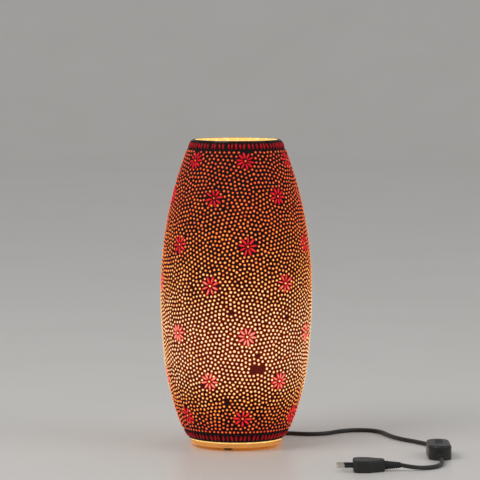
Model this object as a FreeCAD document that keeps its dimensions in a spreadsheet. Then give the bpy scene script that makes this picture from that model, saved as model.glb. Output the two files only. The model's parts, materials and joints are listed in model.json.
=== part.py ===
import FreeCAD, Part
import math
import os
import re

import Sketcher
from FreeCAD import Placement, Rotation, Vector

# Mosaic glass table lamp: an open barrel of glass with a bead mosaic outside, standing on a clear disc
# that carries the lampholder and bulb, with a mains cord, an in-line rocker switch and a flat two-pin plug.
# The origin is on the table under the lamp's axis; +X is right, -Y is the front, +Z is up.

doc = FreeCAD.newDocument("MosaicLamp")
Z_AXIS = Vector(0, 0, 1)

# Driving dimensions in millimetres and degrees. A height is measured from the table.
DIMENSIONS = [
    # glass barrel and its mosaic
    ("belly_radius", 90.0, "outside of the beads at the widest place"),
    ("belly_height", 186.0, "height of the widest place"),
    ("upper_sweep", 467.0, "outline radius above the widest place"),
    ("belly_sweep", 800.0, "outline radius just below it"),
    ("side_sweep", 309.0, "outline radius of the lower side"),
    ("lower_sweep", 103.0, "outline radius of the turn-in at the bottom"),
    ("side_angle", 5.45, "slope where the lower side begins"),
    ("lower_angle", 20.4, "slope where the turn-in begins"),
    ("rim_top", 366.0, "height of the open top edge"),
    ("bead_depth", 0.9, "how far the beads stand out of the grout"),
    ("mosaic_depth", 1.8, "beads and grout together, outside the glass"),
    ("glass_wall", 2.7, "thickness of the glass"),
    ("mosaic_low", 10.8, "lower edge of the grout"),
    ("mosaic_high", 364.6, "upper edge of the grout"),
    ("low_border_top", 22.0, "top of the lower border of slips"),
    ("high_border_bottom", 355.0, "bottom of the upper border of slips"),
    ("slip_width", 3.1, "width of one border slip"),
    ("low_slip_count", 72, "slips in the lower border"),
    ("high_slip_count", 68, "slips in the upper border"),
    ("notch_width", 9.0, "cord notch in the lower edge of the glass"),
    # base disc and what holds the holder to it
    ("foot_radius", 5.3, "rubber foot"),
    ("foot_height", 4.0, "rubber foot, and the gap under the disc"),
    ("foot_circle", 36.0, "circle of the three feet"),
    ("foot_turn", -105.0, "direction of the first foot"),
    ("disc_radius", 55.0, "clear disc"),
    ("disc_thickness", 5.0, "clear disc under the rim of the glass"),
    ("step_radius", 50.4, "raised middle of the disc that centres the glass"),
    ("step_height", 2.0, "raised middle of the disc"),
    ("screw_radius", 2.5, "screw from below the disc"),
    ("screw_head", 4.7, "countersunk head"),
    ("screw_top", 17.2, "end of the screw in the column"),
    ("washer_thickness", 0.8, "fibre washer under the column"),
    ("column_radius", 9.0, "brass column"),
    ("column_flange", 12.0, "foot of the column"),
    ("column_top", 30.0, "top of the column"),
    ("column_bore", 5.5, "hollow of the column"),
    ("nipple_radius", 4.95, "threaded tube between column and cap"),
    ("nipple_bore", 3.6, "bore of the threaded tube"),
    ("nut_flats", 14.0, "across the flats of the nut in the cap"),
    ("nut_thickness", 3.0, "nut in the cap"),
    # lampholder
    ("holder_radius", 19.8, "outside of the holder"),
    ("holder_wall", 2.2, "wall of cap and skirt"),
    ("cap_top", 50.0, "joint between cap and skirt"),
    ("skirt_top", 80.0, "top of the skirt"),
    ("block_bottom", 47.0, "contact block"),
    ("block_top", 56.0, "contact block"),
    ("terminal_width", 5.0, "terminal, square in plan"),
    ("terminal_offset", 7.5, "terminal from the axis"),
    ("terminal_screw", 1.2, "terminal screw shank"),
    ("shell_radius", 14.9, "screw shell, outside"),
    ("shell_crest", 13.45, "screw shell, inside at a crest"),
    ("shell_root", 14.3, "screw shell, inside at a root"),
    ("thread_pitch", 3.63, "pitch of holder and bulb cap"),
    # bulb
    ("bulb_bottom", 58.1, "contact tip of the bulb"),
    ("cap_bottom", 63.0, "metal cap of the bulb"),
    ("cap_crest", 13.1, "bulb cap at a crest"),
    ("cap_root", 12.3, "bulb cap at a root"),
    ("neck_radius", 12.8, "glass where it leaves the cap"),
    ("neck_bottom", 84.0, "glass where it leaves the cap"),
    ("neck_sweep", 27.8, "hollow curve from neck to globe"),
    ("globe_radius", 22.5, "bulb globe"),
    ("globe_height", 113.7, "centre of the globe"),
    ("bulb_wall", 0.8, "bulb glass"),
    ("filament_circle", 6.0, "circle of the filaments"),
    ("filament_radius", 0.9, "one filament"),
    ("filament_length", 27.0, "one filament"),
    # cord, coil and what is on the cord
    ("cord_radius", 2.5, "mains cord"),
    ("core_radius", 1.1, "one insulated wire inside the cord"),
    ("cord_direction", 72.0, "where the cord leaves, counted from +X"),
    ("cord_height", 13.7, "axis of the cord in the notch"),
    ("relief_radius", 4.2, "strain relief in the notch"),
    ("relief_start", 51.0, "inner end of the strain relief, from the lamp's axis"),
    ("relief_end", 80.0, "outer end of the strain relief"),
    ("coil_x", 1.5, "centre of the coil"),
    ("coil_y", 124.0, "centre of the coil"),
    ("coil_inner", 23.0, "inside of the coil"),
    ("coil_outer", 33.0, "outside of the upper turns"),
    ("coil_spread", 38.2, "outside of the lowest turns"),
    ("coil_height", 15.0, "three turns on each other"),
    ("tie_thickness", 0.8, "tie round the coil"),
    ("tie_width", 4.0, "tie round the coil"),
    ("switch_x", 236.0, "middle of the in-line switch"),
    ("switch_y", -94.0, "middle of the in-line switch"),
    ("switch_length", 64.0, "in-line switch"),
    ("switch_width", 27.0, "in-line switch"),
    ("switch_split", 8.0, "joint between base and cover"),
    ("switch_height", 17.0, "in-line switch"),
    ("switch_wall", 1.6, "in-line switch"),
    ("switch_cord", 5.0, "axis of the cord in the switch"),
    ("boot_length", 12.0, "strain relief of the switch"),
    ("rocker_length", 17.6, "rocker"),
    ("rocker_width", 8.0, "rocker"),
    ("rocker_gap", 0.45, "room round the rocker"),
    ("rocker_tilt", 10.0, "rocker's tilt to each side"),
    ("pivot_height", 13.2, "rocker's pivot"),
    ("pivot_radius", 1.2, "rocker's pivot pins"),
    ("pivot_clearance", 0.05, "running clearance of the pivot"),
    ("plug_x", 132.0, "face of the plug that the pins leave"),
    ("plug_y", -203.0, "middle of the plug"),
    ("plug_length", 36.0, "plug body"),
    ("plug_width", 35.3, "plug body"),
    ("plug_tail", 13.0, "plug body where the cord enters"),
    ("plug_thickness", 13.7, "plug body"),
    ("plug_boot", 18.0, "strain relief of the plug"),
    ("pin_spacing", 19.0, "between the pins"),
    ("pin_radius", 2.0, "bare end of a pin"),
    ("pin_core", 1.2, "pin under its sleeve"),
    ("pin_sleeve", 1.7, "sleeve on a pin"),
    ("sleeve_length", 10.0, "sleeve on a pin"),
    ("pin_length", 19.0, "pin outside the plug"),
]

sheet = doc.addObject("Spreadsheet::Sheet", "Sheet")
for row, (alias, number, note) in enumerate(DIMENSIONS, 1):
    sheet.set(f"A{row}", note)
    sheet.set(f"B{row}", str(number))
    sheet.setAlias(f"B{row}", alias)
doc.recompute()

exported = []  # the sub-parts, one file each


# ---- helpers ---------------------------------------------------------------------------


def linked(text):
    """A formula on aliases, such as 'disc_radius - 1', as an expression on the sheet."""
    return re.sub(r"[a-z]+(?:_[a-z]+)+", r"Sheet.\g<0>", text)


def value(text):
    """The number that a formula on aliases gives now."""
    result = sheet.evalExpression(linked(text))
    return float(getattr(result, "Value", result))


def bind(thing, **formulas):
    """Bind properties of an object to formulas on the sheet's aliases."""
    for name, text in formulas.items():
        thing.setExpression(name.replace("__", "."), linked(text))


def place(thing, x="0", y="0", z="0", turn=0.0, axis=Z_AXIS):
    """Put a sub-part at a point given by formulas, turned about an axis through it."""
    thing.Placement = Placement(Vector(value(x), value(y), value(z)), Rotation(axis, turn))


def keep(thing):
    """Mark an object as a sub-part that gets its own file."""
    exported.append(thing)
    return thing


def new_body(label):
    return keep(doc.addObject("PartDesign::Body", label))


def new_sketch(body, role, lift="0", shift="0"):
    """Sketch on a plane of the body's own origin, lifted along its normal or shifted along its first axis."""
    sketch = body.newObject("Sketcher::SketchObject", body.Label + "_sketch")
    origin_plane = next(item for item in body.Origin.OriginFeatures if item.Role == role)
    sketch.AttachmentSupport = [(origin_plane, "")]
    sketch.MapMode = "FlatFace"
    sketch.setExpression("AttachmentOffset.Base.z", linked(lift))
    sketch.setExpression("AttachmentOffset.Base.x", linked(shift))
    return sketch


def pin_corner(sketch, kind, edge, end, text):
    """Hold one coordinate of a corner at a formula; a zero coordinate lies on the sketch's axis."""
    number = value(text)
    if abs(number) < 1e-9:
        axis = -2 if kind == "DistanceX" else -1
        sketch.addConstraint(Sketcher.Constraint("PointOnObject", edge, end, axis))
    elif number > 0:
        index = sketch.addConstraint(Sketcher.Constraint(kind, -1, 1, edge, end, number))
        sketch.setExpression(f"Constraints[{index}]", linked(text))
    else:
        index = sketch.addConstraint(Sketcher.Constraint(kind, edge, end, -1, 1, -number))
        sketch.setExpression(f"Constraints[{index}]", f"-({linked(text)})")


def arc_between(start, stop, radius, hollow):
    """Arc whose centre lies towards smaller x, or larger x if hollow, and whether it is reversed."""
    middle = (start + stop) * 0.5
    chord = stop - start
    rise = math.sqrt(radius**2 - chord.Length**2 / 4)
    normal = Vector(-chord.y, chord.x, 0).normalize()
    centres = sorted((middle + normal * rise, middle - normal * rise), key=lambda point: point.x)
    centre = centres[1] if hollow else centres[0]
    to_start, to_stop = start - centre, stop - centre
    angles = [math.atan2(to_start.y, to_start.x), math.atan2(to_stop.y, to_stop.x)]
    backwards = to_start.cross(to_stop).z < 0
    if backwards:
        angles.reverse()
    return Part.ArcOfCircle(Part.Circle(centre, Z_AXIS, radius), *angles), backwards


def draw(sketch, corners):
    """Closed outline through corners of formulas. A third entry makes the edge that leaves a corner an arc of
    that radius, and a fourth says that the arc is hollow."""
    points = [Vector(value(corner[0]), value(corner[1]), 0) for corner in corners]
    edges = []
    for index, corner in enumerate(corners):
        start, stop = points[index], points[(index + 1) % len(points)]
        if len(corner) == 2:
            edges.append((sketch.addGeometry(Part.LineSegment(start, stop)), 1, 2))
        else:
            arc, backwards = arc_between(start, stop, value(corner[2]), len(corner) == 4)
            ends = (2, 1) if backwards else (1, 2)
            edges.append((sketch.addGeometry(arc), *ends))
    for (edge, _, last), (following, first, _) in zip(edges, edges[1:] + edges[:1]):
        sketch.addConstraint(Sketcher.Constraint("Coincident", edge, last, following, first))
    for (edge, first, _), corner in zip(edges, corners):
        pin_corner(sketch, "DistanceX", edge, first, corner[0])
        pin_corner(sketch, "DistanceY", edge, first, corner[1])
        if len(corner) > 2:
            index = sketch.addConstraint(Sketcher.Constraint("Radius", edge, value(corner[2])))
            sketch.setExpression(f"Constraints[{index}]", linked(corner[2]))
    return sketch


def draw_circle(sketch, radius, x="0", y="0"):
    edge = sketch.addGeometry(Part.Circle(Vector(value(x), value(y), 0), Z_AXIS, value(radius)))
    index = sketch.addConstraint(Sketcher.Constraint("Radius", edge, value(radius)))
    sketch.setExpression(f"Constraints[{index}]", linked(radius))
    pin_corner(sketch, "DistanceX", edge, 3, x)
    pin_corner(sketch, "DistanceY", edge, 3, y)
    return sketch


def draw_rectangle(sketch, width, length, y="0"):
    """Rectangle of width along x and length along y, centred on x = 0."""
    low, high = f"({y}) - ({length}) / 2", f"({y}) + ({length}) / 2"
    side = f"({width}) / 2"
    return draw(sketch, [(f"-{side}", low), (side, low), (side, high), (f"-{side}", high)])


def draw_stadium(sketch, width, length):
    """Outline with two straight sides along y and two round ends."""
    side = f"({width}) / 2"
    reach = f"({length}) / 2 - ({width}) / 2"
    radius, height = value(side), value(reach)
    for sign, angles in ((1, (0, math.pi)), (-1, (math.pi, 2 * math.pi))):
        circle = Part.Circle(Vector(0, sign * height, 0), Z_AXIS, radius)
        edge = sketch.addGeometry(Part.ArcOfCircle(circle, *angles))
        index = sketch.addConstraint(Sketcher.Constraint("Radius", edge, radius))
        sketch.setExpression(f"Constraints[{index}]", linked(side))
        pin_corner(sketch, "DistanceX", edge, 3, "0")
        pin_corner(sketch, "DistanceY", edge, 3, reach if sign > 0 else f"-({reach})")
    for x, first, last in ((-radius, (0, 2), (1, 1)), (radius, (1, 2), (0, 1))):
        start, stop = (height, -height) if x < 0 else (-height, height)
        line = sketch.addGeometry(Part.LineSegment(Vector(x, start, 0), Vector(x, stop, 0)))
        sketch.addConstraint(Sketcher.Constraint("Tangent", first[0], first[1], line, 1))
        sketch.addConstraint(Sketcher.Constraint("Tangent", line, 2, last[0], last[1]))
    return sketch


def add_feature(body, kind, sketch, **settings):
    feature = body.newObject("PartDesign::" + kind, body.Label + "_" + kind.lower())
    feature.Profile = sketch
    for name, setting in settings.items():
        setattr(feature, name, setting)
    body.Tip = feature
    return feature


def turn_profile(body, corners, shift="0"):
    """Solid of revolution of a half section about the upright axis of its sketch."""
    sketch = draw(new_sketch(body, "XZ_Plane", shift=shift), corners)
    return add_feature(body, "Revolution", sketch, ReferenceAxis=(sketch, ["V_Axis"]), Angle=360)


def turned(label, corners):
    body = new_body(label)
    turn_profile(body, corners)
    return body


def pad(body, sketch, height):
    feature = add_feature(body, "Pad", sketch)
    bind(feature, Length=height)
    return feature


def cut(body, sketch, depth, backwards=False):
    """Pocket, with a check that it takes something away."""
    doc.recompute()
    before = body.Shape.Volume
    feature = add_feature(body, "Pocket", sketch, Reversed=backwards)
    bind(feature, Length=depth)
    doc.recompute()
    if body.Shape.Volume >= before - 1e-6:
        raise ValueError(f"{body.Label}: a pocket cuts nothing")
    return feature


def repeat_round(body, feature, count):
    """Copy a feature round the body's upright axis."""
    pattern = body.newObject("PartDesign::PolarPattern", body.Label + "_pattern")
    pattern.Originals = [feature]
    upright = next(item for item in body.Origin.OriginFeatures if item.Role == "Z_Axis")
    pattern.Axis = (upright, [""])
    pattern.Angle = 360
    pattern.Occurrences = count
    body.Tip = pattern


def soften(body, radius, wanted):
    """Fillet the edges that wanted picks."""
    doc.recompute()
    names = [f"Edge{index}" for index, edge in enumerate(body.Shape.Edges, 1) if wanted(edge)]
    sharp = body.Tip
    fillet = body.newObject("PartDesign::Fillet", body.Label + "_fillet")
    fillet.Base = (sharp, names)
    fillet.Radius = radius
    body.Tip = fillet
    doc.recompute()


def at_height(height):
    return lambda edge: all(abs(vertex.Z - height) < 1e-4 for vertex in edge.Vertexes)


def ring(label, inner, outer, low, high):
    return turned(label, [(inner, low), (outer, low), (outer, high), (inner, high)])


# ---- glass barrel and mosaic -----------------------------------------------------------


def wall_corner(depth, place_name, height="0"):
    """A point of the barrel's outline, moved inwards by depth; the outline is four smoothly joined arcs."""
    side_x = "belly_radius - belly_sweep + (belly_sweep - side_sweep) * cos(side_angle)"
    side_z = "belly_height - (belly_sweep - side_sweep) * sin(side_angle)"
    lower_x = f"{side_x} + (side_sweep - lower_sweep) * cos(lower_angle)"
    lower_z = f"{side_z} - (side_sweep - lower_sweep) * sin(lower_angle)"
    if place_name == "upper":
        rise = f"sqrt((upper_sweep - {depth})^2 - ({height} - belly_height)^2)"
        return (f"belly_radius - upper_sweep + {rise}", height, f"upper_sweep - {depth}")
    if place_name == "belly":
        return (f"belly_radius - {depth}", "belly_height", f"belly_sweep - {depth}")
    if place_name == "side":
        x = f"belly_radius - belly_sweep + (belly_sweep - {depth}) * cos(side_angle)"
        return (x, f"belly_height - (belly_sweep - {depth}) * sin(side_angle)", f"side_sweep - {depth}")
    if place_name == "turn":
        x = f"{side_x} + (side_sweep - {depth}) * cos(lower_angle)"
        return (x, f"{side_z} - (side_sweep - {depth}) * sin(lower_angle)", f"lower_sweep - {depth}")
    rise = f"sqrt((lower_sweep - {depth})^2 - ({lower_z} - {height})^2)"
    return (f"{lower_x} + {rise}", height)


def barrel_layer(label, outer, inner, low, high, parts=("upper", "belly", "side", "turn", "lower")):
    """A layer of the barrel's wall between two depths and two heights, over some of the outline's arcs."""

    outer, inner, low, high = f"({outer})", f"({inner})", f"({low})", f"({high})"

    def outline(depth):
        """Corners from the top down; each carries the radius of the arc that leaves it downwards."""
        return [wall_corner(depth, name, high if name == parts[0] else low) for name in parts]

    down = outline(outer)
    if len(parts) == 1:
        bottom = wall_corner(outer, parts[0], low)[:2]
        radius = f"{'upper' if parts[0] == 'upper' else 'lower'}_sweep"
        down = [(*down[0][:2], f"{radius} - {outer}"), bottom]
        first, last = wall_corner(inner, parts[0], low), wall_corner(inner, parts[0], high)
        up = [(*first[:2], f"{radius} - {inner}"), last[:2]]
        return turned(label, down + up)
    up = outline(inner)[::-1]
    radii = [corner[2] for corner in up[1:]]
    up = [(*corner[:2], radius) for corner, radius in zip(up, radii)] + [up[-1][:2]]
    return turned(label, down + up)


def notch_outline(sketch):
    """Slot, open below the glass, with a round top about the cord."""
    side, top = "notch_width / 2", "cord_height"
    draw(sketch, [
        (f"-{side}", "0"), (side, "0"), (side, top, side), ("0", f"{top} + {side}", side, "hollow"),
        (f"-{side}", top)])


def make_barrel():
    rim = "foot_height + disc_thickness"
    glass = barrel_layer("glass_body", "mosaic_depth", "mosaic_depth + glass_wall", rim, "rim_top")
    sketch = new_sketch(glass, "XZ_Plane")
    notch_outline(sketch)
    cut(glass, sketch, "belly_radius")
    grout = barrel_layer("grout_skin", "bead_depth", "mosaic_depth", "mosaic_low", "mosaic_high")
    sketch = new_sketch(grout, "XZ_Plane")
    notch_outline(sketch)
    cut(grout, sketch, "belly_radius")
    for piece in (glass, grout):
        place(piece, turn=value("cord_direction") - 90)
    barrel_layer("bead_field", "0", "bead_depth", "low_border_top", "high_border_bottom")


def make_border(label, low, high, part_name, count):
    """Upright glass slips side by side round the barrel, cut out of one band; none stands in the notch."""
    band = barrel_layer(label + "_band", "0", "bead_depth", low, high, (part_name,))
    exported.remove(band)
    doc.recompute()
    width, reach, tall = value("slip_width"), value("belly_radius"), value("rim_top")
    slips = []
    for index in range(round(value(count))):
        angle = 360 * (index + 0.5) / value(count)
        away = abs((angle - value("cord_direction") + 180) % 360 - 180)
        if part_name == "lower" and away < 6:
            continue
        blade = Part.makeBox(reach, width, tall, Vector(0, -width / 2, 0))
        blade.rotate(Vector(), Z_AXIS, angle)
        slips.append(band.Shape.common(blade).Solids[0])
    border = keep(doc.addObject("Part::Feature", label))
    border.Shape = Part.makeCompound(slips)


# ---- base ------------------------------------------------------------------------------


def make_feet():
    feet = new_body("rubber_feet")
    foot = turn_profile(feet, [
        ("0", "0"), ("foot_radius - 1.6", "0"), ("foot_radius - 0.5", "0.7"),
        ("foot_radius", "foot_height - 1"),
        ("foot_radius", "foot_height"), ("0", "foot_height")], shift="foot_circle")
    repeat_round(feet, foot, 3)
    place(feet, turn=value("foot_turn"))


def make_base():
    low, high = "foot_height", "foot_height + disc_thickness"
    edge, sink, room = "0.5", "screw_head - screw_radius", "0.2"
    head_top = f"{low} + 0.3"
    turned("base_disc", [
        (f"screw_head + {room}", low), (f"disc_radius - {edge}", low), ("disc_radius", f"{low} + {edge}"),
        ("disc_radius", f"{high} - {edge} / 2"), (f"disc_radius - {edge} / 2", high),
        ("step_radius", high), ("step_radius", f"{high} + step_height - {edge}"),
        (f"step_radius - {edge}", f"{high} + step_height"),
        (f"screw_radius + {room}", f"{high} + step_height"),
        (f"screw_radius + {room}", f"{head_top} + {sink} + {room}"),
        (f"screw_head + {room}", f"{head_top} + {room}")])
    screw = turned("base_screw", [
        ("0", f"{low} + 0.1"), ("screw_head", f"{low} + 0.1"), ("screw_head", head_top),
        ("screw_radius", f"{head_top} + {sink}"), ("screw_radius", "screw_top - 0.4"),
        ("screw_radius - 0.5", "screw_top"), ("0", "screw_top")])
    sketch = new_sketch(screw, "XY_Plane")
    draw_hexagon(sketch, "3")
    cut(screw, sketch, "foot_height + 2", backwards=True)
    top = f"{high} + step_height"
    ring("column_washer", "screw_radius + 0.2", "column_flange - 0.5", top, f"{top} + washer_thickness")


def draw_hexagon(sketch, flats):
    """Regular hexagon of a given size across its flats."""
    radius = f"({flats}) / sqrt(3)"
    draw(sketch, [(f"{radius} * cos({60 * step})", f"{radius} * sin({60 * step})") for step in range(6)])


def make_column():
    low = "foot_height + disc_thickness + step_height + washer_thickness"
    column = turned("holder_column", [
        ("screw_radius + 0.05", low), ("column_flange", low), ("column_flange", f"{low} + 1.6"),
        ("column_flange - 1.5", f"{low} + 2.6"), ("column_radius", f"{low} + 3.2"),
        ("column_radius", "column_top - 3.4"), ("column_radius + 1.6", "column_top - 2.2"),
        ("column_radius + 1.6", "column_top - 0.6"), ("column_radius + 1", "column_top"),
        ("nipple_radius + 0.05", "column_top"), ("nipple_radius + 0.05", "column_top - 5"),
        ("column_bore", "column_top - 5"), ("column_bore", "17.4"), ("screw_radius + 0.05", "17.4")])
    side_hole = draw_circle(new_sketch(column, "XZ_Plane"), "cord_radius + 0.7", y="cord_height + 7.1")
    cut(column, side_hole, "column_flange")
    place(column, turn=value("cord_direction") - 90)
    ring("threaded_nipple", "nipple_bore", "nipple_radius", "column_top - 4.5", "column_top + 6.5")
    nut = new_body("nipple_nut")
    sketch = new_sketch(nut, "XY_Plane", lift="column_top + 2.5")
    draw_hexagon(sketch, "nut_flats")
    draw_circle(sketch, "nipple_radius + 0.05")
    pad(nut, sketch, "nut_thickness")


# ---- lampholder ------------------------------------------------------------------------


def thread(crest, root, low, turns, first_crest):
    """Corners of a ring thread, from the bottom up, one crest and one root for each pitch."""
    corners = []
    for step in range(2 * turns + 1):
        on_crest = (step % 2 == 0) == first_crest
        corners.append((crest if on_crest else root, f"{low} + {step} * thread_pitch / 2"))
    return corners


def make_holder():
    top, wall = "cap_top", "holder_wall"
    turned("holder_cap", [
        ("nipple_radius + 0.05", "column_top"), ("column_flange - 1", "column_top"),
        ("column_flange", "column_top + 0.8"), ("holder_radius - 1.2", f"{top} - 10"),
        ("holder_radius", f"{top} - 7.5"), ("holder_radius", top), (f"holder_radius - {wall}", top),
        (f"holder_radius - {wall}", "block_bottom"), (f"holder_radius - {wall} - 2", "block_bottom"),
        (f"holder_radius - {wall} - 2", f"{top} - 7"), ("column_flange - 0.5", "column_top + 4"),
        ("column_flange - 2.5", "column_top + 2.5"), ("nipple_radius + 0.05", "column_top + 2.5")])
    turned("holder_skirt", [
        (f"holder_radius - {wall}", top), ("holder_radius", top), ("holder_radius", "skirt_top - 4"),
        ("holder_radius - 1.4", "skirt_top - 1"), ("holder_radius - 2.4", "skirt_top"), ("15.4", "skirt_top"),
        ("15.4", "skirt_top - 1.8"), (f"holder_radius - {wall}", "skirt_top - 3")])
    turned("contact_block", [
        ("0", "block_bottom"), ("holder_radius - 3", "block_bottom"),
        ("holder_radius - 3", "block_bottom + 3"), ("shell_radius - 0.9", "block_bottom + 3"),
        ("shell_radius - 0.9", "block_top"), ("0", "block_top")])
    shell_low = "block_top + 3"
    turned("screw_shell", [
        ("shell_root", "block_top"), ("shell_radius", "block_top")] + [
        ("shell_radius", f"{shell_low} + 5 * thread_pitch")] + thread(
        "shell_crest", "shell_root", shell_low, 5, True)[::-1] + [("shell_root", shell_low + " - 1.5")])


def make_contacts():
    tongue = new_body("live_contact")
    sketch = new_sketch(tongue, "XZ_Plane", lift="-2")
    top, thick = "bulb_bottom - 0.1", "0.5"
    draw(sketch, [
        ("-9", "block_top"), ("-4", "block_top"), ("2.5", f"{top} - {thick}"),
        ("5", f"{top} - {thick} - 0.3"), ("5", f"{top} - 0.3"), ("2.5", top), ("0", top),
        ("-4", f"block_top + {thick}"),
        ("-9", f"block_top + {thick}")])
    pad(tongue, sketch, "4")
    strip = keep(doc.addObject("Part::Box", "neutral_contact"))
    bind(strip, Length="0.8", Width="5", Height="15")
    place(strip, "shell_radius + 0.1", "-2.5", "block_bottom + 3")
    terminals = new_body("terminals")
    for side in ("-terminal_offset", "terminal_offset"):
        half = "terminal_width / 2"
        sketch = new_sketch(terminals, "XY_Plane", lift="block_bottom - 5")
        draw(sketch, [(f"{side} - {half}", f"-{half}"), (f"{side} + {half}", f"-{half}"),
                      (f"{side} + {half}", half), (f"{side} - {half}", half)])
        pad(terminals, sketch, "5")
        hole = new_sketch(terminals, "XZ_Plane")
        draw_circle(hole, "terminal_screw + 0.05", side, "block_bottom - 2.5")
        cut(terminals, hole, "terminal_width", backwards=True)
    screws = new_body("terminal_screws")
    for side in ("-terminal_offset", "terminal_offset"):
        low = "terminal_width / 2"
        head = draw_circle(new_sketch(screws, "XZ_Plane", lift=low), "1.9", side, "block_bottom - 2.5")
        pad(screws, head, "1.4")
        shank = draw_circle(new_sketch(screws, "XZ_Plane"), "terminal_screw", side, "block_bottom - 2.5")
        pad(screws, shank, low)


# ---- bulb ------------------------------------------------------------------------------


def globe_corner(depth):
    """Where the hollow neck curve meets the globe, moved inwards by depth."""
    across, up = "neck_radius + neck_sweep", "globe_height - neck_bottom"
    share = f"(globe_radius - {depth}) / sqrt(({across})^2 + ({up})^2)"
    return (f"({across}) * {share}", f"globe_height - ({up}) * {share}", f"globe_radius - {depth}")


def make_bulb():
    turned("bulb_glass", [
        ("neck_radius", "neck_bottom", "neck_sweep", "hollow"), globe_corner("0"),
        ("0", "globe_height + globe_radius"),
        ("0", "globe_height + globe_radius - bulb_wall", "globe_radius - bulb_wall"),
        (*globe_corner("bulb_wall")[:2], "neck_sweep + bulb_wall", "hollow"),
        ("neck_radius - bulb_wall", "neck_bottom")])
    collar = "cap_bottom + 4.5 * thread_pitch + 1"
    turned("bulb_screw_cap", [
        ("11.4", "cap_bottom")] + thread("cap_crest", "cap_root", "cap_bottom + 0.6", 4, False) + [
        ("cap_root", collar), ("neck_radius + 0.3", f"{collar} + 1"), ("neck_radius + 0.3", "neck_bottom"),
        ("11.4", "neck_bottom")])
    turned("bulb_insulator", [
        ("0", "bulb_bottom + 1.2"), ("4.8", "bulb_bottom + 1.2"), ("11", "cap_bottom - 0.6"),
        ("11", "cap_bottom + 2.5"), ("0", "cap_bottom + 2.5")])
    turned("bulb_contact_tip", [
        ("0", "bulb_bottom"), ("3", "bulb_bottom"), ("4.5", "bulb_bottom + 0.6"),
        ("4.5", "bulb_bottom + 1.2"), ("0", "bulb_bottom + 1.2")])
    turned("bulb_stem", [
        ("0", "neck_bottom - 10"), ("8", "neck_bottom - 10"), ("7", "neck_bottom"), ("3", "neck_bottom + 7"),
        ("1.8", "neck_bottom + 9"), ("1.8", "neck_bottom + 43"), ("0", "neck_bottom + 44")])
    filaments = new_body("bulb_filaments")
    sketch = new_sketch(filaments, "XY_Plane", lift="neck_bottom + 12")
    draw_circle(sketch, "filament_radius", x="filament_circle")
    repeat_round(filaments, pad(filaments, sketch, "filament_length"), 4)


# ---- cord ------------------------------------------------------------------------------


def rounded_path(points):
    """Straight runs joined by tangent arcs, as large as the two runs at each corner allow."""
    edges, radii, start = [], [], points[0]
    for before, corner, after in zip(points, points[1:], points[2:]):
        back, ahead = (before - corner), (after - corner)
        shorter = min(back.Length, ahead.Length)
        back.normalize()
        ahead.normalize()
        half_turn = (math.pi - back.getAngle(ahead)) / 2
        radius = 0.45 * shorter / math.tan(half_turn)
        inwards = (back + ahead).normalize()
        middle = corner + inwards * (radius / math.cos(half_turn) - radius)
        first, last = corner + back * 0.45 * shorter, corner + ahead * 0.45 * shorter
        edges += [Part.LineSegment(start, first).toShape(), Part.Arc(first, middle, last).toShape()]
        radii.append(round(radius, 1))
        start = last
    edges.append(Part.LineSegment(start, points[-1]).toShape())
    return Part.Wire(edges), radii


def cord_tube(label, points, radius):
    """Round tube along a rounded path, with its volume compared with section times length."""
    wire, radii = rounded_path(points)
    path = doc.addObject("Part::Feature", label + "_path")
    path.Shape = wire
    section = doc.addObject("Part::Circle", label + "_section")
    bind(section, Radius=radius)
    section.Placement = Placement(points[0], Rotation(Z_AXIS, points[1] - points[0]))
    tube = keep(doc.addObject("Part::Sweep", label))
    tube.Sections = [section]
    tube.Spine = (path, [f"Edge{index}" for index in range(1, len(wire.Edges) + 1)])
    tube.Solid = True
    tube.Frenet = False
    doc.recompute()
    expected = math.pi * value(radius) ** 2 * wire.Length
    share = tube.Shape.Volume / expected
    print(f"{label}: length {wire.Length:.0f}, radii {radii}, volume / expected {share:.4f}")
    return wire.Length


# The free cord's route on the table, outside the coil: from the coil past the lamp's right side to the
# switch, and from the switch to the plug.
RUN_ROUTE = [
    (16, 88.6, 3.2), (52, 87, 2.6), (102, 70, 2.5), (135, 112, 2.5), (176, 108, 2.5), (190, 45, 2.5),
    (222, 2, 2.5), (236, -28, 2.8), (236, -50, 5.0)]
TAIL_ROUTE = [
    (236, -138, 5.0), (236, -165, 2.6), (226, -190, 2.5), (203, -203, 3.2), (186, -203, 6.85)]


def radial(distance, height, side=0.0):
    """A point at a distance from the lamp's axis in the direction in which the cord leaves."""
    angle = math.radians(value("cord_direction"))
    x = distance * math.cos(angle) + side * math.sin(angle)
    y = distance * math.sin(angle) - side * math.cos(angle)
    return Vector(x, y, height)


def make_cord():
    height, end = value("cord_height"), value("relief_end")
    lengths = [cord_tube("cord_inside", [
        radial(3.4, height + 7.9), radial(34, height), radial(end, height)], "cord_radius")]
    lead = radial(end, height)
    heading = math.radians(value("cord_direction"))
    turned_in = lead + Vector(math.cos(heading), math.sin(heading), 0) * 15
    coil_side = value("coil_x + coil_outer - cord_radius")
    lengths.append(cord_tube("cord_lead", [
        lead, turned_in, Vector(coil_side, value("coil_y") - 17, height - 0.1)], "cord_radius"))
    lengths.append(cord_tube("cord_run", [Vector(*point) for point in RUN_ROUTE], "cord_radius"))
    lengths.append(cord_tube("cord_tail", [Vector(*point) for point in TAIL_ROUTE], "cord_radius"))
    print("cord outside the coil", round(sum(lengths[1:])), "mm")
    for label, side in (("live_wire", 1.3), ("neutral_wire", -1.3)):
        out = math.copysign(value("terminal_offset"), side)
        cord_tube(label, [
            radial(3.4, height + 7.9, side), Vector(side, 0.6, 24.5), Vector(side, 0, 37),
            Vector(out * 0.92, 0, 39.6), Vector(out, 0, value("block_bottom") - 5)], "core_radius")


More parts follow.
